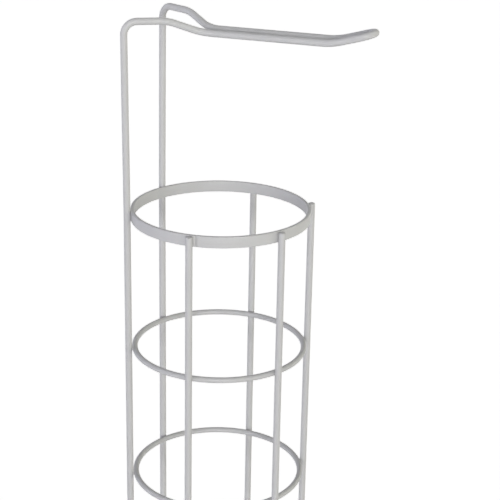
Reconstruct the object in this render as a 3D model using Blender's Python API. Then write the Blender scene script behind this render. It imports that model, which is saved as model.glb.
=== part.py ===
"""Free-standing toilet roll holder of welded, powder-coated steel wire.

Metres, +Z up. The floor is z = 0 and the arm points along +X. A round cage of posts and hoops
stores the spare rolls, and one bent wire makes the two rear uprights and the arm above the cage.
"""

import math

import bmesh
import bpy
from mathutils import Matrix, Vector

# Wires and the clearance where one piece touches another
MAIN_WIRE = 0.006
HOOP_WIRE = 0.005
SEAT_GAP = 0.0003
MERGE_DISTANCE = 0.000002

# Cage
UPRIGHT_CIRCLE = 0.081
HOOP_PITCH = 0.124
HOOP_STOREYS = 4
BASE_HOOP_HEIGHT = 0.018
POST_TOP_DROP = 0.0005
POST_END_ROUND = 0.0012

# Flat band at the top of the cage
BAND_HEIGHT = 0.010
BAND_THICKNESS = 0.003
BAND_EDGE_ROUND = 0.0009
SEAM_FROM_POST = 0.0043
SEAM_WIDTH = 0.0007
SEAM_DEPTH = 0.0007
SEAM_EDGE_DEPTH = 0.0002

# Grid that the lowest roll stands on
GRID_OFFSET = 0.024
GRID_END_ROUND = 0.0008
GRID_OVERHANG = 0.001

# Bent wire of the uprights and the arm, as places of its corners
UPRIGHT_SPLAY = 0.0025
SHOULDER_RISE = 0.1625
SHOULDER_RUN = 0.0315
SHOULDER_HALF_WIDTH = 0.0245
DIP_RUN = 0.024
DIP_DROP = 0.0102
ARM_HALF_WIDTH = 0.0095
ARM_RUN = 0.1115
TIP_RUN = 0.033
TIP_RISE = 0.0095
SPLAY_BEND = 0.060
SHOULDER_BEND = 0.011
DIP_START_BEND = 0.038
DIP_END_BEND = 0.027
UPTURN_BEND = 0.060

# Plastic foot caps
CAP_HEIGHT = 0.012
CAP_FOOT_RADIUS = 0.005
CAP_MOUTH_RADIUS = 0.0045
CAP_FLOOR = 0.0025
CAP_EDGE = 0.0008

# Smoothness
HOOP_STEPS = 64
HOOP_SIDES = 12
BAND_STEPS = 96
WIRE_SIDES = 16
BEND_STEP = math.radians(10)
CAP_STEPS = 20
END_STEPS = 3
SHARP_ANGLE = math.radians(40)
CUT_END_ANGLE = math.radians(60)

# Where each vertical wire stands round the cage, seen from above, with the arm at 0 degrees
POST_ANGLES = {
    "left": math.radians(88.5),
    "right": math.radians(-88.5),
    "front_left": math.radians(31.5),
    "front_right": math.radians(-31.5),
}
UPRIGHT_ANGLE = math.radians(151)
UPRIGHT_ANGLES = {"back_left": UPRIGHT_ANGLE, "back_right": -UPRIGHT_ANGLE}

# Places worked out from the sizes above
HOOP_RADIUS = UPRIGHT_CIRCLE - (MAIN_WIRE + HOOP_WIRE) / 2 - SEAT_GAP
BAND_OUTER_RADIUS = UPRIGHT_CIRCLE - MAIN_WIRE / 2 - SEAT_GAP
BAND_MIDDLE_RADIUS = BAND_OUTER_RADIUS - BAND_THICKNESS / 2
BAND_MIDDLE_HEIGHT = BASE_HOOP_HEIGHT + HOOP_STOREYS * HOOP_PITCH
BAND_TOP = BAND_MIDDLE_HEIGHT + BAND_HEIGHT / 2
WIRE_FOOT = CAP_FLOOR + SEAT_GAP
UPRIGHT_X = UPRIGHT_CIRCLE * math.cos(UPRIGHT_ANGLE)
UPRIGHT_Y = UPRIGHT_CIRCLE * math.sin(UPRIGHT_ANGLE)
TIP_SLOPE = math.atan2(TIP_RISE, TIP_RUN)
TIP_X = UPRIGHT_X + SHOULDER_RUN + DIP_RUN + ARM_RUN + TIP_RUN
AXIS_X = (BAND_OUTER_RADIUS - TIP_X - MAIN_WIRE / 2) / 2


def make_material(name, colour, roughness):
    """A plain Principled material; neither the coating nor the plastic is metallic."""
    material = bpy.data.materials.new(name)
    material.use_nodes = True
    shader = material.node_tree.nodes["Principled BSDF"]
    shader.inputs["Base Color"].default_value = (*colour, 1.0)
    shader.inputs["Roughness"].default_value = roughness
    shader.inputs["Metallic"].default_value = 0.0
    return material


def add_object(name, data, material, axis, location=(0, 0, 0), rotation=(0, 0, 0)):
    """Puts mesh or curve data in the scene under the cage's axis."""
    if not data.materials:
        data.materials.append(material)
    piece = bpy.data.objects.new(name, data)
    bpy.context.scene.collection.objects.link(piece)
    piece.parent = axis
    piece.location = location
    piece.rotation_euler = rotation
    return piece


def mesh_from(name, shape):
    """Turns a finished bmesh into smooth-shaded mesh data."""
    bmesh.ops.recalc_face_normals(shape, faces=shape.faces)
    mesh = bpy.data.meshes.new(name)
    shape.to_mesh(mesh)
    shape.free()
    mesh.shade_smooth()
    mesh.set_sharp_from_angle(angle=SHARP_ANGLE)
    return mesh


def turned_mesh(name, profile, steps):
    """Spins a list of (radius, height) points round the vertical axis."""
    shape = bmesh.new()
    points = [shape.verts.new((radius, 0, height)) for radius, height in profile]
    edges = [shape.edges.new(pair) for pair in zip(points, points[1:] + points[:1])]
    bmesh.ops.spin(
        shape,
        geom=points + edges,
        cent=(0, 0, 0),
        axis=(0, 0, 1),
        angle=2 * math.pi,
        steps=steps,
        use_merge=True,
    )
    bmesh.ops.remove_doubles(shape, verts=shape.verts, dist=MERGE_DISTANCE)
    return mesh_from(name, shape)


def hoop_mesh():
    """One round-wire hoop, centred on its own height."""
    section = []
    for side in range(HOOP_SIDES):
        turn = 2 * math.pi * side / HOOP_SIDES
        out = HOOP_RADIUS + HOOP_WIRE / 2 * math.cos(turn)
        section.append((out, HOOP_WIRE / 2 * math.sin(turn)))
    return turned_mesh("hoop", section, HOOP_STEPS)


def band_section():
    """The strip's cross-section as (outward, upward) points about its middle, its edges rounded."""
    out = BAND_THICKNESS / 2 - BAND_EDGE_ROUND
    up = BAND_HEIGHT / 2 - BAND_EDGE_ROUND
    centres = ((out, -up), (out, up), (-out, up), (-out, -up))
    points = []
    for index, (outward, upward) in enumerate(centres):
        for step in range(END_STEPS):
            turn = math.pi / 2 * (index - 1 + step / (END_STEPS - 1))
            around = BAND_EDGE_ROUND * math.cos(turn)
            along = BAND_EDGE_ROUND * math.sin(turn)
            points.append((outward + around, upward + along))
    return points


def band_mesh():
    """The strip bent to a hoop. A narrow groove round its section marks the seam of its two ends."""
    seam = POST_ANGLES["right"] + SEAM_FROM_POST / BAND_OUTER_RADIUS
    half_seam = SEAM_WIDTH / 2 / BAND_OUTER_RADIUS
    step = 2 * math.pi / BAND_STEPS
    plain = (1, 1)
    drawn_in = (1 - SEAM_DEPTH / (BAND_THICKNESS / 2), 1 - SEAM_EDGE_DEPTH / (BAND_HEIGHT / 2))
    stations = [(step * index, plain) for index in range(BAND_STEPS)]
    groove = seam % (2 * math.pi)
    stations = [spot for spot in stations if abs(spot[0] - groove) > half_seam * 2]
    stations += [(groove - half_seam, plain), (groove, drawn_in), (groove + half_seam, plain)]
    stations.sort()
    section = band_section()
    shape = bmesh.new()
    rings = []
    for turn, (thick_share, high_share) in stations:
        spin = Matrix.Rotation(turn, 3, "Z")
        ring = []
        for outward, upward in section:
            radius = BAND_MIDDLE_RADIUS + outward * thick_share
            ring.append(shape.verts.new(spin @ Vector((radius, 0, upward * high_share))))
        rings.append(ring)
    for ring, following in zip(rings, rings[1:] + rings[:1]):
        for side in range(len(ring)):
            beside = (side + 1) % len(ring)
            shape.faces.new((ring[side], ring[beside], following[beside], following[side]))
    return mesh_from("top_band", shape)


def bend(before, corner, after, radius):
    """Points of the arc that rounds a corner of a wire's path."""
    inward = (before - corner).normalized()
    outward = (after - corner).normalized()
    half_angle = inward.angle(outward) / 2
    setback = radius / math.tan(half_angle)
    centre = corner + (inward + outward).normalized() * radius / math.sin(half_angle)
    start = corner + inward * setback - centre
    turn = math.pi - 2 * half_angle
    axis = start.cross(corner + outward * setback - centre)
    steps = max(2, math.ceil(turn / BEND_STEP))
    return [centre + Matrix.Rotation(turn * step / steps, 3, axis) @ start for step in range(steps + 1)]


def bent_path(corners, radii):
    """A wire's centreline: straight runs between its corners, each inner corner rounded."""
    path = [corners[0]]
    for index, radius in enumerate(radii, start=1):
        path += bend(corners[index - 1], corners[index], corners[index + 1], radius)
    path.append(corners[-1])
    return path


def upright_to_tip(side):
    """Centreline of one half of the arm frame, from its foot to where the tip starts to close."""
    shoulder_height = BAND_TOP + SHOULDER_RISE
    shoulder_end = UPRIGHT_X + SHOULDER_RUN
    arm_start = shoulder_end + DIP_RUN
    arm_end = arm_start + ARM_RUN
    arm_height = shoulder_height - DIP_DROP
    closing = TIP_RUN - ARM_HALF_WIDTH * math.cos(TIP_SLOPE)
    closing_height = arm_height + closing * math.tan(TIP_SLOPE)
    corners = [
        Vector((UPRIGHT_X, side * UPRIGHT_Y, WIRE_FOOT)),
        Vector((UPRIGHT_X, side * UPRIGHT_Y, BAND_TOP)),
        Vector((UPRIGHT_X, side * (UPRIGHT_Y + UPRIGHT_SPLAY), shoulder_height)),
        Vector((shoulder_end, side * SHOULDER_HALF_WIDTH, shoulder_height)),
        Vector((arm_start, side * ARM_HALF_WIDTH, arm_height)),
        Vector((arm_end, side * ARM_HALF_WIDTH, arm_height)),
        Vector((arm_end + closing, side * ARM_HALF_WIDTH, closing_height)),
    ]
    radii = (SPLAY_BEND, SHOULDER_BEND, DIP_START_BEND, DIP_END_BEND, UPTURN_BEND)
    return bent_path(corners, radii)


def arm_frame_path():
    """The whole bent wire: up one side, out along the arm, round the tip and back down the other."""
    left = upright_to_tip(1)
    right = upright_to_tip(-1)
    middle = (left[-1] + right[-1]) / 2
    forward = Vector((math.cos(TIP_SLOPE), 0, math.sin(TIP_SLOPE)))
    across = Vector((0, 1, 0))
    steps = math.ceil(math.pi / BEND_STEP)
    tip = []
    for step in range(1, steps):
        turn = math.pi * step / steps
        reach = forward * math.sin(turn) + across * math.cos(turn)
        tip.append(middle + ARM_HALF_WIDTH * reach)
    return left + tip + right[::-1]


def wire_curve(name, path, diameter):
    """A bent wire with closed ends, as a bevelled curve along its centreline."""
    curve = bpy.data.curves.new(name, "CURVE")
    curve.dimensions = "3D"
    curve.twist_mode = "MINIMUM"
    curve.bevel_depth = diameter / 2
    curve.bevel_resolution = (WIRE_SIDES - 4) // 2
    curve.use_fill_caps = True
    spline = curve.splines.new("POLY")
    spline.points.add(len(path) - 1)
    for point, place in zip(spline.points, path):
        point.co = (*place, 1)
    return curve


def straight_wire(name, length, diameter, sides):
    """A straight wire standing on its lower end, with square-cut ends."""
    shape = bmesh.new()
    bmesh.ops.create_cone(
        shape,
        cap_ends=True,
        segments=sides,
        radius1=diameter / 2,
        radius2=diameter / 2,
        depth=length,
        matrix=Matrix.Translation((0, 0, length / 2)),
    )
    return mesh_from(name, shape)


def round_ends(piece, width):
    """Rounds a straight wire's cut ends."""
    rounding = piece.modifiers.new("rounded ends", "BEVEL")
    rounding.width = width
    rounding.segments = END_STEPS
    rounding.limit_method = "ANGLE"
    rounding.angle_limit = CUT_END_ANGLE


def add_arm_frame(axis, coat):
    """The bent wire of both rear uprights and the arm."""
    add_object("arm_frame", wire_curve("arm_frame", arm_frame_path(), MAIN_WIRE), coat, axis)


def add_posts(axis, coat):
    """Four straight posts outside the hoops, their rounded tops just under the band's upper edge."""
    length = BAND_TOP - POST_TOP_DROP - WIRE_FOOT
    mesh = straight_wire("post", length, MAIN_WIRE, WIRE_SIDES)
    for name, angle in POST_ANGLES.items():
        place = (UPRIGHT_CIRCLE * math.cos(angle), UPRIGHT_CIRCLE * math.sin(angle), WIRE_FOOT)
        post = add_object(f"post_{name}", mesh, coat, axis, place)
        round_ends(post, POST_END_ROUND)


def add_hoops(axis, coat):
    """The flat top band and the round-wire hoops under it, one storey apart."""
    add_object("top_band", band_mesh(), coat, axis, (0, 0, BAND_MIDDLE_HEIGHT))
    mesh = hoop_mesh()
    for storey, name in enumerate(("base_hoop", "hoop_lower", "hoop_middle", "hoop_upper")):
        add_object(name, mesh, coat, axis, (0, 0, BASE_HOOP_HEIGHT + storey * HOOP_PITCH))


def add_base_grid(axis, coat):
    """Two wires butted between the hoop's walls, and two laid across them on top of the hoop."""
    inside = HOOP_RADIUS - HOOP_WIRE / 2
    near_wall = GRID_OFFSET + HOOP_WIRE / 2
    butted_half = math.sqrt(inside**2 - near_wall**2) - SEAT_GAP
    laid_half = math.sqrt(HOOP_RADIUS**2 - GRID_OFFSET**2) + GRID_OVERHANG
    laid_height = BASE_HOOP_HEIGHT + HOOP_WIRE + SEAT_GAP
    butted = straight_wire("butted_base_wire", 2 * butted_half, HOOP_WIRE, HOOP_SIDES)
    laid = straight_wire("laid_base_wire", 2 * laid_half, HOOP_WIRE, HOOP_SIDES)
    quarter = math.pi / 2
    wires = (
        ("base_wire_front", butted, (GRID_OFFSET, butted_half, BASE_HOOP_HEIGHT), (quarter, 0, 0)),
        ("base_wire_back", butted, (-GRID_OFFSET, butted_half, BASE_HOOP_HEIGHT), (quarter, 0, 0)),
        ("base_wire_left", laid, (-laid_half, GRID_OFFSET, laid_height), (0, quarter, 0)),
        ("base_wire_right", laid, (-laid_half, -GRID_OFFSET, laid_height), (0, quarter, 0)),
    )
    for name, mesh, place, turn in wires:
        wire = add_object(name, mesh, coat, axis, place, turn)
        round_ends(wire, GRID_END_ROUND)


def add_foot_caps(axis, plastic):
    """A tapered cap with a blind socket on the lower end of every post and upright."""
    socket = MAIN_WIRE / 2 + SEAT_GAP
    profile = [
        (0, 0),
        (CAP_FOOT_RADIUS - CAP_EDGE, 0),
        (CAP_FOOT_RADIUS, CAP_EDGE),
        (CAP_MOUTH_RADIUS, CAP_HEIGHT - CAP_EDGE / 2),
        (CAP_MOUTH_RADIUS - CAP_EDGE / 2, CAP_HEIGHT),
        (socket, CAP_HEIGHT),
        (socket, CAP_FLOOR),
        (0, CAP_FLOOR),
    ]
    mesh = turned_mesh("foot_cap", profile, CAP_STEPS)
    for name, angle in {**POST_ANGLES, **UPRIGHT_ANGLES}.items():
        place = (UPRIGHT_CIRCLE * math.cos(angle), UPRIGHT_CIRCLE * math.sin(angle), 0)
        add_object(f"foot_cap_{name}", mesh, plastic, axis, place)


def main():
    """Clears the scene and models the holder, centred over the floor's origin."""
    for leftover in list(bpy.data.objects):
        bpy.data.objects.remove(leftover, do_unlink=True)
    axis = bpy.data.objects.new("cage_axis", None)
    bpy.context.scene.collection.objects.link(axis)
    axis.location = (AXIS_X, 0, 0)
    coat = make_material("powder_coat", colour=(0.58, 0.58, 0.59), roughness=0.42)
    plastic = make_material("cap_plastic", colour=(0.50, 0.50, 0.50), roughness=0.55)
    add_arm_frame(axis, coat)
    add_posts(axis, coat)
    add_hoops(axis, coat)
    add_base_grid(axis, coat)
    add_foot_caps(axis, plastic)


main()
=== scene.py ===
"""Free-standing toilet roll holder of welded, powder-coated steel wire.

Dresses the modelled holder for a studio picture: smooth wires and hoops, the welds between them,
the moulded foot caps, their finishes, and a white stage with soft light. Metres, +Z up.
"""

import math
from functools import partial

import bmesh
import bpy
from mathutils import Matrix, Vector


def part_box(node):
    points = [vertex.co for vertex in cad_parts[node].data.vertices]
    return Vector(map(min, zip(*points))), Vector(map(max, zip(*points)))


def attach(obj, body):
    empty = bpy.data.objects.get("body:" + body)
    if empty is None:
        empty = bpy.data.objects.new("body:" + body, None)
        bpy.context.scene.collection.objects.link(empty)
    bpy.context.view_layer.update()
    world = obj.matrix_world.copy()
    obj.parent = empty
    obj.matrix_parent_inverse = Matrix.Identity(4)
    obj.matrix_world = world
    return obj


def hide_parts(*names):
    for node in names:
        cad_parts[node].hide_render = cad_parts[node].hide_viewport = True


bl_info = {
    "name": "Toilet Roll Holder",
    "version": (1, 0, 0),
    "blender": (4, 5, 0),
    "location": "3D View > Sidebar > Roll Holder",
    "description": "Builds a welded wire toilet roll holder, its finishes and its studio stage",
    "category": "Object",
}

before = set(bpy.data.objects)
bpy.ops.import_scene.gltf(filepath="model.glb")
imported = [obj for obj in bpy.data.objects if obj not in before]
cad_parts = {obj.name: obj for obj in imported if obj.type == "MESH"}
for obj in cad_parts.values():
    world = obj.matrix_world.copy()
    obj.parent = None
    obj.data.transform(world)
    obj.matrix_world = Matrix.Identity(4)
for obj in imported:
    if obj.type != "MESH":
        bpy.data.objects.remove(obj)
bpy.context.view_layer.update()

POSTS = ("left", "right", "front_left", "front_right")
UPRIGHTS = ("back_left", "back_right")
VERTICALS = POSTS + UPRIGHTS
HOOPS = ("hoop_upper", "hoop_middle", "hoop_lower", "base_hoop")
GRID_WIRES = ("base_wire_front", "base_wire_back", "base_wire_left", "base_wire_right")


def node_box(name):
    """A modelled part's middle and its full size along each axis."""
    low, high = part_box(name)
    return (low + high) / 2, high - low


BAND_MIDDLE, BAND_SIZE = node_box("top_band")
HOOP_SIZE = node_box("hoop_upper")[1]
CAP_SIZE = node_box("foot_cap_left")[1]
AXIS = Vector((BAND_MIDDLE.x, 0, 0))
BAND_TOP = BAND_MIDDLE.z + BAND_SIZE.z / 2
UP = Vector((0, 0, 1))


# Sizes and colours that a user would change

class HolderSizes(bpy.types.PropertyGroup):
    """Sizes of the wires, the band, the arm and the foot caps."""

    main_wire: bpy.props.FloatProperty(
        name="Main Wire",
        description="Diameter of the posts and of the arm frame",
        default=node_box("post_left")[1].y,
        unit="LENGTH",
    )
    hoop_wire: bpy.props.FloatProperty(
        name="Hoop Wire",
        description="Diameter of the round hoops and of the base grid",
        default=HOOP_SIZE.z,
        unit="LENGTH",
    )
    post_end_round: bpy.props.FloatProperty(
        name="Post End Round",
        description="Radius that rounds the posts' upper ends",
        default=0.0012,
        unit="LENGTH",
    )
    left_post_drop: bpy.props.FloatProperty(
        name="Left Post Drop",
        description="How far the left post ends below the others, hidden by the band",
        default=0.0018,
        unit="LENGTH",
    )
    grid_end_round: bpy.props.FloatProperty(
        name="Grid End Round",
        description="Radius that rounds the grid wires' cut ends",
        default=0.0008,
        unit="LENGTH",
    )
    band_thickness: bpy.props.FloatProperty(
        name="Band Thickness",
        description="Thickness of the top band's flat strip",
        default=0.003,
        unit="LENGTH",
    )
    band_edge_round: bpy.props.FloatProperty(
        name="Band Edge Round",
        description="Radius along the strip's four edges",
        default=0.0009,
        unit="LENGTH",
    )
    seam_from_post: bpy.props.FloatProperty(
        name="Seam From Post",
        description="Distance along the band from the right post to the strip's seam",
        default=0.0043,
        unit="LENGTH",
    )
    seam_width: bpy.props.FloatProperty(
        name="Seam Width",
        description="Width of the groove that shows the seam",
        default=0.0007,
        unit="LENGTH",
    )
    seam_depth: bpy.props.FloatProperty(
        name="Seam Depth",
        description="Depth of the groove in the strip's outer and inner faces",
        default=0.0007,
        unit="LENGTH",
    )
    seam_edge_depth: bpy.props.FloatProperty(
        name="Seam Edge Depth",
        description="Depth of the groove in the strip's upper and lower edges",
        default=0.0002,
        unit="LENGTH",
    )
    upright_splay: bpy.props.FloatProperty(
        name="Upright Splay",
        description="How far each upright leans outwards above the band",
        default=0.0025,
        unit="LENGTH",
    )
    shoulder_rise: bpy.props.FloatProperty(
        name="Shoulder Rise",
        description="Height of the shoulders' centreline above the band",
        default=0.1625,
        unit="LENGTH",
    )
    shoulder_run: bpy.props.FloatProperty(
        name="Shoulder Run",
        description="Length of the level shoulders along the arm",
        default=0.0315,
        unit="LENGTH",
    )
    shoulder_half_width: bpy.props.FloatProperty(
        name="Shoulder Half Width",
        description="Half the distance between the wires where the shoulders end",
        default=0.0245,
        unit="LENGTH",
    )
    dip_run: bpy.props.FloatProperty(
        name="Dip Run",
        description="Length of the bend down from the shoulders to the arm",
        default=0.024,
        unit="LENGTH",
    )
    dip_drop: bpy.props.FloatProperty(
        name="Dip Drop",
        description="How far the arm lies below the shoulders",
        default=0.0102,
        unit="LENGTH",
    )
    arm_half_width: bpy.props.FloatProperty(
        name="Arm Half Width",
        description="Half the distance between the arm's two wires",
        default=0.0095,
        unit="LENGTH",
    )
    arm_run: bpy.props.FloatProperty(
        name="Arm Run",
        description="Length of the arm's level part",
        default=0.1115,
        unit="LENGTH",
    )
    tip_run: bpy.props.FloatProperty(
        name="Tip Run",
        description="Length of the upturned tip",
        default=0.033,
        unit="LENGTH",
    )
    tip_rise: bpy.props.FloatProperty(
        name="Tip Rise",
        description="How far the tip turns up, so that a roll stays on the arm",
        default=0.0095,
        unit="LENGTH",
    )
    cap_floor: bpy.props.FloatProperty(
        name="Cap Floor",
        description="Thickness under the wire at the bottom of a foot cap",
        default=0.0025,
        unit="LENGTH",
    )
    cap_mouth_radius: bpy.props.FloatProperty(
        name="Cap Mouth Radius",
        description="Outer radius of a foot cap at its mouth",
        default=0.0045,
        unit="LENGTH",
    )
    weld_round: bpy.props.FloatProperty(
        name="Weld Round",
        description="Radius of the hollow that blends two wires at a weld",
        default=0.0006,
        unit="LENGTH",
    )


class HolderLook(bpy.types.PropertyGroup):
    """Colours and roughness of the powder coat and of the foot caps' plastic."""

    coat_pale: bpy.props.FloatVectorProperty(
        name="Coat, Pale",
        description="Colour of the powder coat where it is palest",
        default=(0.590, 0.590, 0.596),
        subtype="COLOR",
        min=0,
        max=1,
    )
    coat_deep: bpy.props.FloatVectorProperty(
        name="Coat, Deep",
        description="Colour of the powder coat where it is deepest",
        default=(0.570, 0.570, 0.576),
        subtype="COLOR",
        min=0,
        max=1,
    )
    coat_roughness: bpy.props.FloatProperty(
        name="Coat Roughness",
        description="Middle roughness of the satin powder coat",
        default=0.42,
        subtype="FACTOR",
        min=0,
        max=1,
    )
    coat_peel: bpy.props.FloatProperty(
        name="Coat Peel",
        description="Height of the coat's fine orange peel",
        default=0.00005,
        unit="LENGTH",
    )
    plastic_pale: bpy.props.FloatVectorProperty(
        name="Plastic, Pale",
        description="Colour of the foot caps where it is palest",
        default=(0.52, 0.52, 0.525),
        subtype="COLOR",
        min=0,
        max=1,
    )
    plastic_deep: bpy.props.FloatVectorProperty(
        name="Plastic, Deep",
        description="Colour of the foot caps where it is deepest",
        default=(0.46, 0.46, 0.465),
        subtype="COLOR",
        min=0,
        max=1,
    )
    plastic_roughness: bpy.props.FloatProperty(
        name="Plastic Roughness",
        description="Middle roughness of the moulded plastic",
        default=0.55,
        subtype="FACTOR",
        min=0,
        max=1,
    )
    plastic_grain: bpy.props.FloatProperty(
        name="Plastic Grain",
        description="Height of the plastic's fine mould grain",
        default=0.00001,
        unit="LENGTH",
    )


class StageSettings(bpy.types.PropertyGroup):
    """Light and camera of the studio stage."""

    room_light: bpy.props.FloatProperty(
        name="Room Light",
        description="Strength of the even light from all round",
        default=0.16,
        min=0,
    )
    ring_light: bpy.props.FloatProperty(
        name="Ring Light",
        description="Strength of the low ring of soft light behind the camera",
        default=2.1,
        min=0,
    )
    back_light: bpy.props.FloatProperty(
        name="Back Light",
        description="Strength of the same ring of light behind the holder",
        default=1.1,
        min=0,
    )
    ring_height: bpy.props.FloatProperty(
        name="Ring Height",
        description="Angle above the level at which the ring of light has faded away",
        default=math.radians(24),
        subtype="ANGLE",
    )
    lamp_strength: bpy.props.FloatProperty(
        name="Lamp Strength",
        description="Strength of the soft lamp beside the camera",
        default=0.9,
        min=0,
    )
    lamp_spread: bpy.props.FloatProperty(
        name="Lamp Spread",
        description="Angle over which the soft lamp is seen from the holder",
        default=math.radians(10),
        subtype="ANGLE",
    )
    lamp_beside: bpy.props.FloatProperty(
        name="Lamp Beside",
        description="How far round the holder the lamp stands to the right of the camera",
        default=math.radians(4),
        subtype="ANGLE",
    )
    lamp_height: bpy.props.FloatProperty(
        name="Lamp Height",
        description="Angle by which the lamp shines downwards",
        default=math.radians(8),
        subtype="ANGLE",
    )
    left_colour: bpy.props.FloatVectorProperty(
        name="Left Colour",
        description="Colour of the light from the left, a little cooler than white",
        default=(0.85, 0.85, 1.0),
        subtype="COLOR",
        min=0,
        max=1,
    )
    right_colour: bpy.props.FloatVectorProperty(
        name="Right Colour",
        description="Colour of the light from the right, a little warmer than white",
        default=(1.0, 0.99, 0.83),
        subtype="COLOR",
        min=0,
        max=1,
    )
    view_azimuth: bpy.props.FloatProperty(
        name="View Azimuth",
        description="Direction of the camera round the holder; at zero it looks along +Y",
        default=math.radians(18.71),
        subtype="ANGLE",
    )
    view_height: bpy.props.FloatProperty(
        name="View Height",
        description="Angle by which the camera looks down",
        default=math.radians(20.06),
        subtype="ANGLE",
    )
    view_roll: bpy.props.FloatProperty(
        name="View Roll",
        description="Turn of the camera about its own line of sight",
        default=math.radians(1.08),
        subtype="ANGLE",
    )
    view_distance: bpy.props.FloatProperty(
        name="View Distance",
        description="Distance from the camera to the picture's middle",
        default=1.2354,
        unit="LENGTH",
    )
    focal_length: bpy.props.FloatProperty(
        name="Focal Length",
        description="Focal length of the camera, in millimetres",
        default=102.58,
        min=1,
    )
    aim_below_band: bpy.props.FloatProperty(
        name="Aim Below Band",
        description="Depth of the aimed point on the cage's axis below the band's top",
        default=0.0205,
        unit="LENGTH",
    )
    aim_right: bpy.props.FloatProperty(
        name="Aim Right",
        description="How far the picture's middle lies to the right of that point",
        default=0.02579,
        unit="LENGTH",
    )
    aim_up: bpy.props.FloatProperty(
        name="Aim Up",
        description="How far the picture's middle lies above that point",
        default=-0.01733,
        unit="LENGTH",
    )


# Nodes

NODE_SPACING = 190
# Sockets whose names other sockets of their node have too, by number.
MIX_FIRST, MIX_SECOND = 6, 7
RANDOM_LEAST, RANDOM_MOST = 2, 3


def put(tree, kind, inputs=None, output=None, **options):
    """Adds a node and returns one of its outputs. An input that is given as a socket is linked."""
    node = tree.nodes.new(kind)
    node.location = (NODE_SPACING * len(tree.nodes), 0)
    for option, value in options.items():
        setattr(node, option, value)
    for key, value in (inputs or {}).items():
        if isinstance(value, bpy.types.NodeSocket):
            tree.links.new(value, node.inputs[key])
        else:
            node.inputs[key].default_value = value
    if output is not None:
        return node.outputs[output]
    return next((socket for socket in node.outputs if socket.enabled), None)


def calculate(tree, operation, first, second=0.0, third=0.0):
    """One Math node."""
    return put(tree, "ShaderNodeMath", {0: first, 1: second, 2: third}, operation=operation)


def combine(tree, operation, first, second=(0.0, 0.0, 0.0)):
    """One Vector Math node."""
    return put(tree, "ShaderNodeVectorMath", {0: first, 1: second}, operation=operation)


def stored(tree, name, kind="FLOAT"):
    """Reads a named attribute."""
    return put(tree, "GeometryNodeInputNamedAttribute", {"Name": name}, data_type=kind)


def emptied_nodes(owner):
    """The node tree of a material or a world, with nothing in it."""
    owner.use_nodes = True
    owner.node_tree.nodes.clear()
    return owner.node_tree


def start_tree(name, **inputs):
    """A geometry node tree with named inputs, listed by their kind, and its Group Input's sockets."""
    tree = bpy.data.node_groups.new(name, "GeometryNodeTree")
    for kind, labels in {"Geometry": "Geometry", **inputs, "Material": "Material"}.items():
        for label in labels.split(", "):
            tree.interface.new_socket(label, in_out="INPUT", socket_type=f"NodeSocket{kind}")
    tree.interface.new_socket("Geometry", in_out="OUTPUT", socket_type="NodeSocketGeometry")
    return tree, tree.nodes.new("NodeGroupInput").outputs


def end_tree(tree, given, geometry):
    """Shades the result smooth, makes its copies real, gives it its material and sends it out."""
    smooth = put(tree, "GeometryNodeSetShadeSmooth", {"Geometry": geometry})
    real = put(tree, "GeometryNodeRealizeInstances", {"Geometry": smooth})
    dressed = put(tree, "GeometryNodeSetMaterial", {"Geometry": real, "Material": given["Material"]})
    put(tree, "NodeGroupOutput", {"Geometry": dressed})
    return tree


def swept(tree, path, diameter, sides, scale=1.0):
    """A round section swept along a path, its ends closed."""
    radius = calculate(tree, "MULTIPLY", diameter, 0.5)
    section = put(tree, "GeometryNodeCurvePrimitiveCircle", {"Resolution": sides, "Radius": radius})
    inputs = {"Curve": path, "Profile Curve": section, "Scale": scale, "Fill Caps": True}
    return put(tree, "GeometryNodeCurveToMesh", inputs)


def bent_wire_tree():
    """A wire bent along a chain of corners, each rounded by the radius that it carries."""
    tree, given = start_tree("bent_wire", Float="Diameter", Int="Sides, Bend Steps")
    chain = put(tree, "GeometryNodeMeshToCurve", {"Mesh": given["Geometry"]})
    radius = stored(tree, "bend_radius")
    rounding = {"Curve": chain, "Count": given["Bend Steps"], "Radius": radius, "Limit Radius": True}
    path = put(tree, "GeometryNodeFilletCurve", rounding, mode="POLY")
    return end_tree(tree, given, swept(tree, path, given["Diameter"], given["Sides"]))


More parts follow.
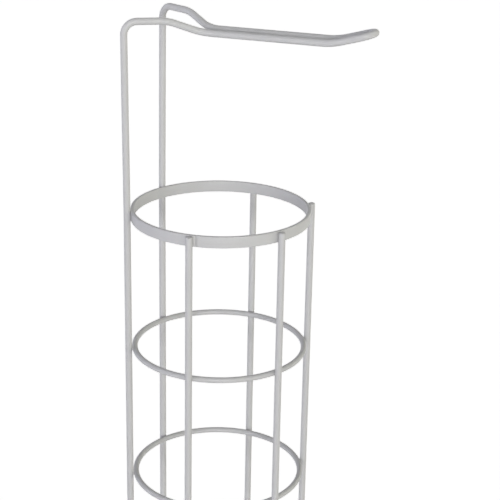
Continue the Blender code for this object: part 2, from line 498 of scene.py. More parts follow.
def rounded_wire_tree():
    """A straight wire between two points, its ends rounded by stations that close in on them."""
    tree, given = start_tree(
        "rounded_wire", Vector="Start, End", Float="Diameter, End Round", Int="End Steps, Sides"
    )
    work = partial(calculate, tree)
    last = work("MULTIPLY_ADD", given["End Steps"], 2.0, 1.0)
    line = put(tree, "GeometryNodeMeshLine", {"Count": work("ADD", last, 1.0)})
    index = put(tree, "GeometryNodeInputIndex")
    from_end = work("MINIMUM", index, work("SUBTRACT", last, index))
    share = work("DIVIDE", from_end, given["End Steps"])
    turn = work("MULTIPLY", share, math.pi / 2)
    drawn_in = work("SUBTRACT", 1.0, work("COSINE", turn))
    inward = work("MULTIPLY", given["End Round"], drawn_in)
    forward = combine(tree, "NORMALIZE", combine(tree, "SUBTRACT", given["End"], given["Start"]))
    step = combine(tree, "MULTIPLY", forward, inward)
    near = combine(tree, "ADD", given["Start"], step)
    far = combine(tree, "SUBTRACT", given["End"], step)
    choice = {"Switch": work("GREATER_THAN", index, given["End Steps"]), "False": near, "True": far}
    place = put(tree, "GeometryNodeSwitch", choice, input_type="VECTOR")
    placed = put(tree, "GeometryNodeSetPosition", {"Geometry": line, "Position": place})
    full = work("MULTIPLY", given["Diameter"], 0.5)
    core = work("SUBTRACT", full, given["End Round"])
    swell = work("MULTIPLY", given["End Round"], work("SINE", turn))
    scale = work("DIVIDE", work("ADD", core, swell), full)
    kept = {"Geometry": placed, "Name": "wire_scale", "Value": scale}
    stations = put(tree, "GeometryNodeStoreNamedAttribute", kept, data_type="FLOAT", domain="POINT")
    path = put(tree, "GeometryNodeMeshToCurve", {"Mesh": stations})
    wire = swept(tree, path, given["Diameter"], given["Sides"], stored(tree, "wire_scale"))
    return end_tree(tree, given, wire)


def round_hoop_tree():
    """A round wire bent to a closed hoop."""
    tree, given = start_tree("round_hoop", Vector="Middle", Float="Radius, Diameter", Int="Steps, Sides")
    circle = {"Resolution": given["Steps"], "Radius": given["Radius"]}
    ring = put(tree, "GeometryNodeCurvePrimitiveCircle", circle)
    path = put(tree, "GeometryNodeSetPosition", {"Geometry": ring, "Offset": given["Middle"]})
    return end_tree(tree, given, swept(tree, path, given["Diameter"], given["Sides"]))


def flat_band_tree():
    """A flat strip bent to a hoop, with a groove at its first station where the ends meet."""
    tree, given = start_tree(
        "flat_band",
        Vector="Middle",
        Float="Outer Radius, Height, Thickness, Edge Round, "
        "Seam Angle, Seam Width, Seam Depth, Seam Edge Depth",
        Int="Edge Steps, Steps",
    )
    work = partial(calculate, tree)
    half_thickness = work("MULTIPLY", given["Thickness"], 0.5)
    radius = work("SUBTRACT", given["Outer Radius"], half_thickness)
    circle = {"Resolution": given["Steps"], "Radius": radius}
    ring = put(tree, "GeometryNodeCurvePrimitiveCircle", circle)
    index = put(tree, "GeometryNodeInputIndex")
    # The first station stands in the seam, and the others share the rest of the circle.
    seam_share = work("DIVIDE", given["Seam Width"], given["Outer Radius"])
    half_seam = work("MULTIPLY", seam_share, 0.5)
    rest = work("SUBTRACT", math.tau, seam_share)
    step = work("DIVIDE", rest, work("SUBTRACT", given["Steps"], 2.0))
    steps_on = work("MULTIPLY", work("SUBTRACT", index, 1.0), step)
    past_seam = work("ADD", half_seam, steps_on)
    at_plain = work("GREATER_THAN", index, 0.0)
    angle = work("MULTIPLY_ADD", past_seam, at_plain, given["Seam Angle"])
    across = work("MULTIPLY", radius, work("COSINE", angle))
    beyond = work("MULTIPLY", radius, work("SINE", angle))
    spot = put(tree, "ShaderNodeCombineXYZ", {"X": across, "Y": beyond})
    moved = {"Geometry": ring, "Position": spot, "Offset": given["Middle"]}
    path = put(tree, "GeometryNodeSetPosition", moved)
    kept = {"Geometry": path, "Name": "at_seam", "Value": work("SUBTRACT", 1.0, at_plain)}
    marked = put(tree, "GeometryNodeStoreNamedAttribute", kept, data_type="FLOAT", domain="POINT")
    plain = {"Width": given["Thickness"], "Height": given["Height"]}
    section = put(tree, "GeometryNodeCurvePrimitiveQuadrilateral", plain)
    rounding = {"Curve": section, "Count": given["Edge Steps"], "Radius": given["Edge Round"]}
    rounded = put(tree, "GeometryNodeFilletCurve", rounding, mode="POLY")
    band = put(tree, "GeometryNodeCurveToMesh", {"Curve": marked, "Profile Curve": rounded})
    # At the seam the section shrinks towards its middle.
    seam = stored(tree, "at_seam")
    away = combine(tree, "SUBTRACT", put(tree, "GeometryNodeInputPosition"), given["Middle"])
    level = combine(tree, "MULTIPLY", away, (1, 1, 0))
    distance = combine(tree, "LENGTH", level)
    thick_share = work("DIVIDE", work("SUBTRACT", radius, distance), half_thickness)
    drawn_in = work("MULTIPLY", thick_share, work("MULTIPLY", given["Seam Depth"], seam))
    upward = put(tree, "ShaderNodeSeparateXYZ", {"Vector": away}, output="Z")
    high_share = work("DIVIDE", upward, work("MULTIPLY", given["Height"], -0.5))
    lowered = work("MULTIPLY", high_share, work("MULTIPLY", given["Seam Edge Depth"], seam))
    inward = combine(tree, "MULTIPLY", combine(tree, "NORMALIZE", level), drawn_in)
    downward = put(tree, "ShaderNodeCombineXYZ", {"Z": lowered})
    shift = combine(tree, "ADD", inward, downward)
    grooved = put(tree, "GeometryNodeSetPosition", {"Geometry": band, "Offset": shift})
    return end_tree(tree, given, grooved)


def set_welds_tree():
    """One weld set on every point, turned as the point says and each a little unlike the next."""
    tree, given = start_tree("set_welds", Object="Weld", Float="Unevenness", Int="Seed")
    weld = put(tree, "GeometryNodeObjectInfo", {"Object": given["Weld"]}, output="Geometry")
    turn = put(tree, "FunctionNodeEulerToRotation", {"Euler": stored(tree, "turn", "FLOAT_VECTOR")})
    least = calculate(tree, "SUBTRACT", 1.0, given["Unevenness"])
    most = calculate(tree, "ADD", 1.0, given["Unevenness"])
    limits = {RANDOM_LEAST: least, RANDOM_MOST: most, "Seed": given["Seed"]}
    size = put(tree, "FunctionNodeRandomValue", limits, data_type="FLOAT")
    spots = {"Points": given["Geometry"], "Instance": weld, "Rotation": turn, "Scale": size}
    return end_tree(tree, given, put(tree, "GeometryNodeInstanceOnPoints", spots))


def grow(name, tree, values, base=None):
    """Runs a node tree on a base mesh and keeps the result as a plain mesh piece."""
    source = add_piece(name, base or bpy.data.meshes.new(name))
    modifier = source.modifiers.new(tree.name, "NODES")
    modifier.node_group = tree
    for item in tree.interface.items_tree:
        if item.in_out == "INPUT" and item.name in values:
            modifier[item.identifier] = values[item.name]
    graph = bpy.context.evaluated_depsgraph_get()
    mesh = bpy.data.meshes.new_from_object(source.evaluated_get(graph), depsgraph=graph)
    bpy.data.meshes.remove(source.data)
    if not mesh.polygons:
        raise RuntimeError(f"{name} came out empty")
    return add_piece(name, mesh)


def add_piece(name, data):
    """Links a finished mesh, a lamp or a camera under its own name."""
    data.name = name
    piece = bpy.data.objects.new(name, data)
    bpy.context.scene.collection.objects.link(piece)
    return piece


def outward_mesh(name, shape):
    """Turns a closed shape's faces outward and keeps it as a mesh."""
    bmesh.ops.recalc_face_normals(shape, faces=shape.faces)
    mesh = bpy.data.meshes.new(name)
    shape.to_mesh(mesh)
    shape.free()
    return mesh


def settle(piece, slot, *nodes):
    """Lets a piece move with the holder's body and stand for the modelled parts that it dresses."""
    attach(piece, "root")
    if nodes:
        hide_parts(*nodes)


# Finishes

COAT_CLOUD_SCALE = 45.0
COAT_PEEL_SCALE = 750.0
COAT_GRAIN_SCALE = 4200.0
PLASTIC_CLOUD_SCALE = 160.0
PLASTIC_GRAIN_SCALE = 2600.0
CLOUD_DETAIL = 4.0
RELIEF_DETAIL = 2.0
COAT_GRAIN_DETAIL = 1.0
COAT_PEEL_TO_GRAIN = 5
NOISE_LOW, NOISE_HIGH = 0.3, 0.7
ROUGHNESS_SPREAD = 0.05


def spread(tree, value, low, high):
    """Brings a noise's usual range of values into the range from low to high."""
    inputs = {"Value": value, "From Min": NOISE_LOW, "From Max": NOISE_HIGH, "To Min": low, "To Max": high}
    return put(tree, "ShaderNodeMapRange", inputs)


def blend(tree, share, first, second):
    """Blends from a first colour to a second one."""
    mixing = {"Factor": share, MIX_FIRST: (*first, 1.0), MIX_SECOND: (*second, 1.0)}
    return put(tree, "ShaderNodeMix", mixing, data_type="RGBA")


def finish_material(name, pale, deep, roughness, cloud_scale, relief):
    """A material with cloudy colour and roughness and a relief of one or more noises."""
    material = bpy.data.materials.get(name) or bpy.data.materials.new(name)
    tree = emptied_nodes(material)
    place = put(tree, "ShaderNodeTexCoord", output="Object")
    clouds = {"Vector": place, "Scale": cloud_scale, "Detail": CLOUD_DETAIL}
    cloud = put(tree, "ShaderNodeTexNoise", clouds)
    colour = blend(tree, spread(tree, cloud, 0.0, 1.0), deep, pale)
    rough = spread(tree, cloud, roughness + ROUGHNESS_SPREAD, roughness - ROUGHNESS_SPREAD)
    normal = None
    for scale, detail, height in relief:
        noise = put(tree, "ShaderNodeTexNoise", {"Vector": place, "Scale": scale, "Detail": detail})
        inputs = {"Height": noise, "Distance": height}
        if normal is not None:
            inputs["Normal"] = normal
        normal = put(tree, "ShaderNodeBump", inputs)
    surface = {"Base Color": colour, "Roughness": rough, "Normal": normal, "Metallic": 0.0}
    shader = put(tree, "ShaderNodeBsdfPrincipled", surface)
    put(tree, "ShaderNodeOutputMaterial", {"Surface": shader})
    return material


def powder_coat(look):
    """Satin powder coat: cloudy pale grey with orange peel and a finer grain."""
    relief = (
        (COAT_PEEL_SCALE, RELIEF_DETAIL, look.coat_peel),
        (COAT_GRAIN_SCALE, COAT_GRAIN_DETAIL, look.coat_peel / COAT_PEEL_TO_GRAIN),
    )
    colours = (look.coat_pale, look.coat_deep, look.coat_roughness)
    return finish_material("powder_coat", *colours, COAT_CLOUD_SCALE, relief)


def cap_plastic(look):
    """Moulded matte plastic with a fine mould grain."""
    relief = ((PLASTIC_GRAIN_SCALE, RELIEF_DETAIL, look.plastic_grain),)
    colours = (look.plastic_pale, look.plastic_deep, look.plastic_roughness)
    return finish_material("cap_plastic", *colours, PLASTIC_CLOUD_SCALE, relief)


# Wires

WIRE_SIDES = 32
BEND_STEPS = 14
HOOP_STEPS = 192
HOOP_SIDES = 24
BAND_STEPS = 240
EDGE_STEPS = 5
END_STEPS = 7
SPLAY_BEND = 0.060
SHOULDER_BEND = 0.011
DIP_START_BEND = 0.038
DIP_END_BEND = 0.027
UPTURN_BEND = 0.060
HAIR = 0.00001


def grow_coated(name, tree, values, *nodes, base=None):
    """Grows a powder-coated piece that stands for the named parts, if any."""
    coat = powder_coat(bpy.context.scene.holder_look)
    settle(grow(name, tree, {**values, "Material": coat}, base), "coated_wire", *nodes)


def chain_mesh(name, corners, radii):
    """A chain of corners that carry their bend radii, for the bent wire's tree."""
    mesh = bpy.data.meshes.new(name)
    links = [(index, index + 1) for index in range(len(corners) - 1)]
    mesh.from_pydata(corners, links, [])
    carried = mesh.attributes.new("bend_radius", "FLOAT", "POINT")
    carried.data.foreach_set("value", radii)
    return mesh


def arm_frame_corners(sizes):
    """Corners and bend radii of the whole bent wire, from the left foot round the tip to the right."""
    foot = node_box("foot_cap_back_left")[0]
    shoulder_height = BAND_TOP + sizes.shoulder_rise
    shoulder_end = foot.x + sizes.shoulder_run
    arm_start = shoulder_end + sizes.dip_run
    arm_end = arm_start + sizes.arm_run
    tip = arm_end + sizes.tip_run
    arm_height = shoulder_height - sizes.dip_drop
    tip_height = arm_height + sizes.tip_rise
    wire_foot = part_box("arm_frame")[0].z
    half = [
        (Vector((foot.x, foot.y, wire_foot)), 0),
        (Vector((foot.x, foot.y, BAND_TOP)), SPLAY_BEND),
        (Vector((foot.x, foot.y + sizes.upright_splay, shoulder_height)), SHOULDER_BEND),
        (Vector((shoulder_end, sizes.shoulder_half_width, shoulder_height)), DIP_START_BEND),
        (Vector((arm_start, sizes.arm_half_width, arm_height)), DIP_END_BEND),
        (Vector((arm_end, sizes.arm_half_width, arm_height)), UPTURN_BEND),
        (Vector((tip, sizes.arm_half_width, tip_height)), sizes.arm_half_width - HAIR),
    ]
    other = [(Vector((corner.x, -corner.y, corner.z)), radius) for corner, radius in reversed(half)]
    return zip(*(half + other))


def bearing(name):
    """A vertical wire's angle round the cage, from the foot cap that it stands in."""
    place = node_box(f"foot_cap_{name}")[0] - AXIS
    return math.atan2(place.y, place.x)


class HOLDER_OT_arm_frame(bpy.types.Operator):
    """Bend the one wire that makes both rear uprights and the arm"""

    bl_idname = "roll_holder.arm_frame"
    bl_label = "Arm Frame"

    def execute(self, context):
        sizes = context.scene.holder_sizes
        corners, radii = arm_frame_corners(sizes)
        values = {
            "Diameter": sizes.main_wire,
            "Sides": WIRE_SIDES,
            "Bend Steps": BEND_STEPS,
        }
        chain = chain_mesh("arm_frame_chain", corners, radii)
        grow_coated("arm_frame_wire", bent_wire_tree(), values, "arm_frame", base=chain)
        return {"FINISHED"}


class HOLDER_OT_posts(bpy.types.Operator):
    """Stand the four straight posts round the cage, with rounded upper ends"""

    bl_idname = "roll_holder.posts"
    bl_label = "Posts"

    def execute(self, context):
        sizes = context.scene.holder_sizes
        tree = rounded_wire_tree()
        for name in POSTS:
            middle, size = node_box(f"post_{name}")
            reach = UP * size.z / 2
            drop = UP * (sizes.left_post_drop if name == "left" else 0)
            values = {
                "Start": middle - reach,
                "End": middle + reach - drop,
                "Diameter": sizes.main_wire,
                "End Round": sizes.post_end_round,
                "End Steps": END_STEPS,
                "Sides": WIRE_SIDES,
            }
            grow_coated(f"post_{name}_wire", tree, values, f"post_{name}")
        return {"FINISHED"}


class HOLDER_OT_hoops(bpy.types.Operator):
    """Set the four round-wire hoops at their heights"""

    bl_idname = "roll_holder.hoops"
    bl_label = "Hoops"

    def execute(self, context):
        sizes = context.scene.holder_sizes
        tree = round_hoop_tree()
        for name in HOOPS:
            middle, size = node_box(name)
            values = {
                "Middle": middle,
                "Radius": (size.x - sizes.hoop_wire) / 2,
                "Diameter": sizes.hoop_wire,
                "Steps": HOOP_STEPS,
                "Sides": HOOP_SIDES,
            }
            grow_coated(f"{name}_wire", tree, values, name)
        return {"FINISHED"}


class HOLDER_OT_top_band(bpy.types.Operator):
    """Bend the flat strip that makes the cage's top, with its butt seam"""

    bl_idname = "roll_holder.top_band"
    bl_label = "Top Band"

    def execute(self, context):
        sizes = context.scene.holder_sizes
        outer_radius = BAND_SIZE.x / 2
        values = {
            "Middle": BAND_MIDDLE,
            "Outer Radius": outer_radius,
            "Height": BAND_SIZE.z,
            "Thickness": sizes.band_thickness,
            "Edge Round": sizes.band_edge_round,
            "Edge Steps": EDGE_STEPS,
            "Seam Angle": bearing("right") + sizes.seam_from_post / outer_radius,
            "Seam Width": sizes.seam_width,
            "Seam Depth": sizes.seam_depth,
            "Seam Edge Depth": sizes.seam_edge_depth,
            "Steps": BAND_STEPS,
        }
        grow_coated("top_band_strip", flat_band_tree(), values, "top_band")
        return {"FINISHED"}


class HOLDER_OT_base_grid(bpy.types.Operator):
    """Lay the four wires that the lowest roll stands on"""

    bl_idname = "roll_holder.base_grid"
    bl_label = "Base Grid"

    def execute(self, context):
        sizes = context.scene.holder_sizes
        tree = rounded_wire_tree()
        for name in GRID_WIRES:
            middle, size = node_box(name)
            reach = Vector((size.x / 2, 0, 0)) if size.x > size.y else Vector((0, size.y / 2, 0))
            values = {
                "Start": middle - reach,
                "End": middle + reach,
                "Diameter": sizes.hoop_wire,
                "End Round": sizes.grid_end_round,
                "End Steps": END_STEPS,
                "Sides": HOOP_SIDES,
            }
            grow_coated(f"{name}_bar", tree, values, name)
        return {"FINISHED"}


# Welds

WELD_TURNS = 36
WELD_ARC_STEPS = 6
WELD_SINK = 0.00003
WELD_CORE = 0.001
WELD_UNEVENNESS = 0.03
WELD_SEED = 7
BAND_BALL_SHARE = 0.5
COLLAR_REACH = 0.0007
COLLAR_LENGTH = 0.0011
COLLAR_SIDES = 10

TO_OUTER = Vector((1, 0, 0))
CROSSINGS = ((1, 1), (1, -1), (-1, 1), (-1, -1))


def hollow(outward, wires, ball):
    """The arc that a ball hollows out where it rests against both wires, off to one side.

    A wire is the distance of its axis from the crossing's middle, its direction and its radius.
    """
    (high, along_outer, outer), (low, along_inner, inner) = wires
    off_outer = outward.cross(along_outer).length_squared
    off_inner = outward.cross(along_inner).length_squared
    outer_touch = (outer + ball) ** 2
    inner_touch = (inner + ball) ** 2
    # The ball's centre lies its own radius off both wires, which makes a quadratic for its height.
    half = off_outer * low + off_inner * high
    rest = off_outer * (low**2 - inner_touch) - off_inner * (high**2 - outer_touch)
    height = -rest / (half + math.sqrt(half**2 - (off_outer - off_inner) * rest))
    reach = outer_touch - (height - high) ** 2 + inner_touch - (height + low) ** 2
    centre = outward * math.sqrt(reach / (off_outer + off_inner)) + TO_OUTER * height
    to_wires = []
    for middle, along in ((high, along_outer), (-low, along_inner)):
        way = TO_OUTER * middle - centre
        to_wires.append((way - way.project(along)).normalized())
    shares = (step / WELD_ARC_STEPS for step in range(WELD_ARC_STEPS + 1))
    return [centre + to_wires[0].slerp(to_wires[1], share) * ball for share in shares]


def crossing_weld(name, outer, inner, gap, ball, skew=0.0):
    """The weld of two crossing wires: the hollow that a ball leaves as it rolls round the crossing.

    The outer wire runs along Z on the +X side, and the inner wire along Y, leant by the skew.
    """
    middle = gap / 2
    lean = Vector((0, math.cos(skew), math.sin(skew)))
    wires = [
        (radius + middle, along, radius - WELD_SINK) for radius, along in ((outer, UP), (inner, lean))
    ]
    shape = bmesh.new()
    rings = []
    for index in range(WELD_TURNS):
        turn = math.tau * index / WELD_TURNS
        outward = Vector((0, math.cos(turn), math.sin(turn)))
        rings.append([shape.verts.new(point) for point in hollow(outward, wires, ball)])
    tops = [shape.verts.new(TO_OUTER * height) for height in (middle + WELD_CORE, -middle - WELD_CORE)]
    for ring, following in zip(rings, rings[1:] + rings[:1]):
        for step in range(WELD_ARC_STEPS):
            shape.faces.new((ring[step], following[step], following[step + 1], ring[step + 1]))
        for top, rim in zip(tops, (0, -1)):
            shape.edges.get((ring[rim], following[rim])).smooth = False
            shape.faces.new((top, ring[rim], following[rim]))
    return outward_mesh(name, shape)


def band_weld(name, post, band, gap, ball, height):
    """The weld of a post against the band: two upright hollows, one on each side of the post."""
    wires = [(radius + gap / 2, UP, radius - WELD_SINK) for radius in (post, band)]
    outline = hollow(Vector((0, 1, 0)), wires, ball)
    outline += reversed(hollow(Vector((0, -1, 0)), wires, ball))
    shape = bmesh.new()
    low, high = (
        [shape.verts.new(point + UP * height * side) for point in outline] for side in (-0.5, 0.5)
    )
    shape.faces.new(low)
    shape.faces.new(high)
    for index, beside in enumerate([*range(1, len(outline)), 0]):
        shape.faces.new((low[index], low[beside], high[beside], high[index]))
    return outward_mesh(name, shape)


def collar_weld(name, wire):
    """The bead round a wire's end where it butts another wire. The butted wire runs along Z."""
    shape = bmesh.new()
    rings = []
    for index in range(WELD_TURNS):
        turn = Matrix.Rotation(math.tau * index / WELD_TURNS, 3, "Z")
        ring = []
        for side in range(COLLAR_SIDES):
            round_it = math.tau * side / COLLAR_SIDES
            out = wire + COLLAR_REACH * math.cos(round_it)
            ring.append(shape.verts.new(turn @ Vector((out, 0, COLLAR_LENGTH * math.sin(round_it)))))
        rings.append(ring)
    for ring, following in zip(rings, rings[1:] + rings[:1]):
        for side in range(COLLAR_SIDES):
            beside = (side + 1) % COLLAR_SIDES
            shape.faces.new((ring[side], following[side], following[beside], ring[beside]))
    return outward_mesh(name, shape)


def set_welds(name, weld, spots):
    """Sets a copy of a weld's mesh on every spot, given as a place and a turn."""
    template = bpy.data.objects.new(weld.name, weld)
    points = bpy.data.meshes.new(f"{name}_points")
    points.from_pydata([place for place, _ in spots], [], [])
    turns = points.attributes.new("turn", "FLOAT_VECTOR", "POINT")
    turns.data.foreach_set("vector", [angle for _, turn in spots for angle in turn])
    values = {"Weld": template, "Unevenness": WELD_UNEVENNESS, "Seed": WELD_SEED}
    grow_coated(name, set_welds_tree(), values, base=points)
    bpy.data.meshes.remove(weld)


class HOLDER_OT_welds(bpy.types.Operator):
    """Weld the hoops and the band to the uprights and posts, and the base grid to its hoop"""

    bl_idname = "roll_holder.welds"
    bl_label = "Welds"

    def execute(self, context):
        sizes = context.scene.holder_sizes
        main = sizes.main_wire / 2
        thin = sizes.hoop_wire / 2
        ball = sizes.weld_round
        circle = (node_box("foot_cap_left")[0] - AXIS).length
        hoop_radius = HOOP_SIZE.x / 2 - thin
        band_radius = BAND_SIZE.x / 2
        gap = circle - main - band_radius
        contact = circle - main - gap / 2

        def round_cage(verticals, height):
            spots = []
            for angle in map(bearing, verticals):
                out = Vector((math.cos(angle), math.sin(angle), 0)) * contact
                spots.append((AXIS + out + UP * height, (0, 0, angle)))
            return spots

        spots = [spot for name in HOOPS for spot in round_cage(VERTICALS, node_box(name)[0].z)]
        set_welds("hoop_welds", crossing_weld("hoop_weld", main, thin, gap, ball), spots)

        weld_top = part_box("post_left")[1].z - sizes.post_end_round
        weld_foot = BAND_MIDDLE.z - BAND_SIZE.z / 2 + sizes.band_edge_round
        for name, verticals, drop in (
            ("band_welds", VERTICALS[1:], 0),
            ("band_weld_left", VERTICALS[:1], sizes.left_post_drop),
        ):
            height = weld_top - drop - weld_foot
            spots = round_cage(verticals, weld_foot + height / 2)
            weld = band_weld(f"{name}_shape", main, band_radius, gap, ball * BAND_BALL_SHARE, height)
            set_welds(name, weld, spots)

        laid = node_box("base_wire_left")[0]
        butted = node_box("base_wire_front")[0]
        seat = (laid.z + butted.z) / 2
        laid_flat = (0, -math.pi / 2, 0)
        across = butted.x - AXIS.x
        spots = [
            (AXIS + Vector((across * along, laid.y * beside, seat)), laid_flat)
            for along, beside in CROSSINGS
        ]
        set_welds("grid_welds", crossing_weld("grid_weld", thin, thin, gap, ball), spots)

        reach = math.sqrt(hoop_radius**2 - laid.y**2)
        lean = math.asin(laid.y / hoop_radius)
        for name, beside in (("left", 1), ("right", -1)):
            weld = crossing_weld(f"rim_weld_{name}", thin, thin, gap, ball, lean * beside)
            place = Vector((reach, laid.y * beside, 0))
            middle = AXIS + UP * seat
            spots = [(middle + place, laid_flat), (middle - place, (*laid_flat[:2], math.pi))]
            set_welds(f"rim_welds_{name}", weld, spots)

        end = node_box("base_wire_front")[1].y / 2
        spots = [
            (AXIS + Vector((across * along, end * beside, butted.z)), (math.pi / 2, 0, 0))
            for along, beside in CROSSINGS
        ]
        set_welds("grid_end_welds", collar_weld("end_weld", thin), spots)
        return {"FINISHED"}


# Foot caps

CAP_STEPS = 48
CAP_EDGE = 0.0008
CAP_LIP = 0.0004
CAP_ROUND_STEPS = 5
CAP_SOCKET_GAP = 0.0003
MERGE_DISTANCE = 0.000002
SHARP_ANGLE = math.radians(50)


def rounded_corner(corner, before, after, radius):
    """Points of an arc that rounds one corner of a cap's profile."""
    start = corner + (before - corner).normalized() * radius
    end = corner + (after - corner).normalized() * radius
    shares = (step / CAP_ROUND_STEPS for step in range(CAP_ROUND_STEPS + 1))
    return [start.lerp(corner, share).lerp(corner.lerp(end, share), share) for share in shares]


def cap_mesh(name, place, sizes):
    """A tapered cap turned about its axis, with rounded edges and a blind socket for the wire."""
    height = CAP_SIZE.z
    socket = sizes.main_wire / 2 + CAP_SOCKET_GAP
    base = Vector((CAP_SIZE.x / 2, 0, 0))
    mouth = Vector((sizes.cap_mouth_radius, 0, height))
    inner = Vector((socket, 0, height))
    profile = [Vector()]
    profile += rounded_corner(base, Vector(), mouth, CAP_EDGE)
    profile += rounded_corner(mouth, base, inner, CAP_LIP)
    profile += [inner, Vector((socket, 0, sizes.cap_floor)), UP * sizes.cap_floor]
    shape = bmesh.new()
    points = [shape.verts.new(point) for point in profile]
    edges = [shape.edges.new(pair) for pair in zip(points, points[1:])]
    bmesh.ops.spin(
        shape,
        geom=points + edges,
        cent=(0, 0, 0),
        axis=UP,
        angle=math.tau,
        steps=CAP_STEPS,
        use_merge=True,
    )
    bmesh.ops.remove_doubles(shape, verts=shape.verts, dist=MERGE_DISTANCE)
    bmesh.ops.translate(shape, verts=shape.verts, vec=(place.x, place.y, 0))
    mesh = outward_mesh(name, shape)
    mesh.shade_smooth()
    mesh.set_sharp_from_angle(angle=SHARP_ANGLE)
    return mesh


class HOLDER_OT_foot_caps(bpy.types.Operator):
    """Push a moulded plastic cap on the foot of every post and upright"""

    bl_idname = "roll_holder.foot_caps"
    bl_label = "Foot Caps"

    def execute(self, context):
        sizes = context.scene.holder_sizes
        plastic = cap_plastic(context.scene.holder_look)
        for name in VERTICALS:
            node = f"foot_cap_{name}"
            mesh = cap_mesh(node, node_box(node)[0], sizes)
            mesh.materials.append(plastic)
            settle(add_piece(f"{node}_moulding", mesh), "foot_plastic", node)
        return {"FINISHED"}


# Stage

FLOOR_HALF = 6.0
FLOOR_COLOUR = (0.80, 0.80, 0.80, 1.0)
FLOOR_GLOW = 0.74
WHITE = (1.0, 1.0, 1.0, 1.0)
LAMP_DISTANCE = 4.0
RING_SOLID_SHARE = 0.6
SENSOR_WIDTH = 36.0
CLIP_START = 0.01


def seen_directly(tree):
    """1 for rays from the camera and for those that a mirror or glass sends on, otherwise 0."""
    path = put(tree, "ShaderNodeLightPath").node
    camera, glossy, through = (
        path.outputs[name] for name in ("Is Camera Ray", "Is Glossy Ray", "Is Transmission Ray")
    )
    return calculate(tree, "MAXIMUM", calculate(tree, "MAXIMUM", camera, glossy), through)


def add_floor():
    """A white floor that glows just enough to read as white and still holds a shadow."""
    corners = [(x * FLOOR_HALF, y * FLOOR_HALF, 0) for x, y in ((-1, -1), (1, -1), (1, 1), (-1, 1))]
    mesh = bpy.data.meshes.new("studio_floor")
    mesh.from_pydata(corners, [], [(0, 1, 2, 3)])
    floor = add_piece("studio_floor", mesh)
    material = bpy.data.materials.new("studio_floor")
    tree = emptied_nodes(material)
    matt = put(tree, "ShaderNodeBsdfDiffuse", {"Color": FLOOR_COLOUR})
    glow = calculate(tree, "MULTIPLY", seen_directly(tree), FLOOR_GLOW)
    lit = put(tree, "ShaderNodeEmission", {"Strength": glow})
    both = put(tree, "ShaderNodeAddShader", {0: matt, 1: lit})
    put(tree, "ShaderNodeOutputMaterial", {"Surface": both})
    mesh.materials.append(material)


def add_lamp(stage):
    """One soft lamp, far enough away to light near and far wires alike."""
    lamp = bpy.data.lights.new("studio_lamp", "SUN")
    lamp.energy = stage.lamp_strength
    lamp.angle = stage.lamp_spread
    piece = add_piece("studio_lamp", lamp)
    azimuth = stage.view_azimuth + stage.lamp_beside
    level = Vector((math.sin(azimuth), -math.cos(azimuth), 0)) * math.cos(stage.lamp_height)
    towards = level + UP * math.sin(stage.lamp_height)
    piece.location = towards * LAMP_DISTANCE
    piece.rotation_euler = towards.to_track_quat("Z", "Y").to_euler()


def light_room(stage):
    """Light from all round, brighter in a low ring, over a background that is seen as white."""
    world = bpy.data.worlds.new("studio_room")
    tree = emptied_nodes(world)
    direction = put(tree, "ShaderNodeTexCoord", output="Generated")
    right = Vector((math.cos(stage.view_azimuth), math.sin(stage.view_azimuth), 0))
    front = Vector((right.y, -right.x, 0))
    beside, facing = (combine(tree, "DOT_PRODUCT", direction, way) for way in (right, front))
    across = put(tree, "ShaderNodeMapRange", {"Value": beside, "From Min": -1.0, "From Max": 1.0})
    colour = blend(tree, across, stage.left_colour, stage.right_colour)
    upward = put(tree, "ShaderNodeSeparateXYZ", {"Vector": direction}, output="Z")
    top = math.sin(stage.ring_height)
    fading = {"Value": upward, "From Min": top, "From Max": top * RING_SOLID_SHARE}
    low = put(tree, "ShaderNodeMapRange", fading, interpolation_type="SMOOTHSTEP")
    around = {"Value": facing, "From Min": -1.0, "To Min": stage.back_light, "To Max": stage.ring_light}
    bright = put(tree, "ShaderNodeMapRange", around)
    strength = calculate(tree, "ADD", calculate(tree, "MULTIPLY", low, bright), stage.room_light)
    room = put(tree, "ShaderNodeBackground", {"Color": colour, "Strength": strength})
    white = put(tree, "ShaderNodeBackground", {"Color": WHITE, "Strength": 1.0})
    either = put(tree, "ShaderNodeMixShader", {0: seen_directly(tree), 1: room, 2: white})
    put(tree, "ShaderNodeOutputWorld", {"Surface": either})
    bpy.context.scene.world = world


def add_camera(stage):
    """The camera at the photograph's viewing angle."""
    azimuth, pitch, roll = stage.view_azimuth, stage.view_height, stage.view_roll
    right = Vector((math.cos(azimuth), math.sin(azimuth), 0))
    level = Vector((-math.sin(azimuth), math.cos(azimuth), 0))
    forward = level * math.cos(pitch) - UP * math.sin(pitch)
    up = right.cross(forward)
    aimed = AXIS + UP * (BAND_TOP - stage.aim_below_band)
    aimed += right * stage.aim_right + up * stage.aim_up
    turn = Matrix((right, up, -forward)).transposed().to_4x4() @ Matrix.Rotation(roll, 4, "Z")
    data = bpy.data.cameras.new("studio_camera")
    data.sensor_width = SENSOR_WIDTH
    data.lens = stage.focal_length
    data.clip_start = CLIP_START
    camera = add_piece("studio_camera", data)
    camera.matrix_world = Matrix.Translation(aimed - forward * stage.view_distance) @ turn
    bpy.context.scene.camera = camera


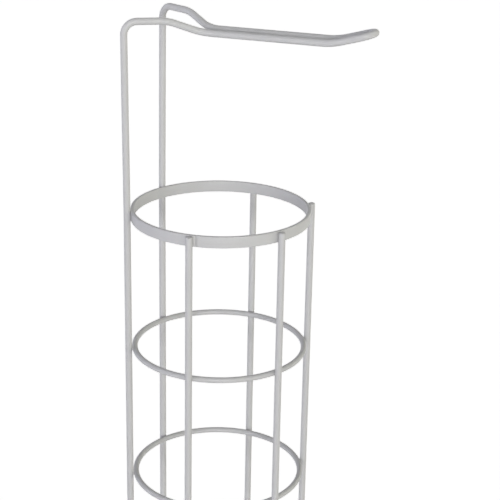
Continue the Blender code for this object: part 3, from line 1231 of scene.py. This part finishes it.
class HOLDER_OT_stage(bpy.types.Operator):
    """Set the white floor, the lamp, the room light and the camera"""

    bl_idname = "roll_holder.stage"
    bl_label = "Stage"

    def execute(self, context):
        stage = context.scene.holder_stage
        add_floor()
        add_lamp(stage)
        light_room(stage)
        add_camera(stage)
        context.scene.view_settings.view_transform = "Standard"
        return {"FINISHED"}


# Add-on

OPERATORS = (
    HOLDER_OT_arm_frame,
    HOLDER_OT_posts,
    HOLDER_OT_hoops,
    HOLDER_OT_top_band,
    HOLDER_OT_base_grid,
    HOLDER_OT_welds,
    HOLDER_OT_foot_caps,
    HOLDER_OT_stage,
)


class HOLDER_PT_panel(bpy.types.Panel):
    """Lists the holder's steps, sizes and finishes."""

    bl_idname = "HOLDER_PT_panel"
    bl_label = "Roll Holder"
    bl_space_type = "VIEW_3D"
    bl_region_type = "UI"
    bl_category = "Roll Holder"

    def draw(self, context):
        layout = self.layout
        for operator in OPERATORS:
            layout.operator(operator.bl_idname)
        for group in (context.scene.holder_sizes, context.scene.holder_look, context.scene.holder_stage):
            column = layout.box().column()
            for name in group.__annotations__:
                column.prop(group, name)


GROUPS = {"holder_sizes": HolderSizes, "holder_look": HolderLook, "holder_stage": StageSettings}
CLASSES = (*GROUPS.values(), *OPERATORS, HOLDER_PT_panel)


def register():
    for item in CLASSES:
        bpy.utils.register_class(item)
    for name, group in GROUPS.items():
        setattr(bpy.types.Scene, name, bpy.props.PointerProperty(type=group))


def unregister():
    for name in GROUPS:
        delattr(bpy.types.Scene, name)
    for item in reversed(CLASSES):
        bpy.utils.unregister_class(item)


def main():
    """Registers the add-on and builds the holder step by step."""
    register()
    bpy.ops.roll_holder.arm_frame()
    bpy.ops.roll_holder.posts()
    bpy.ops.roll_holder.hoops()
    bpy.ops.roll_holder.top_band()
    bpy.ops.roll_holder.base_grid()
    bpy.ops.roll_holder.welds()
    bpy.ops.roll_holder.foot_caps()
    bpy.ops.roll_holder.stage()
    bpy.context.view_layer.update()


if __name__ == "__main__":
    main()
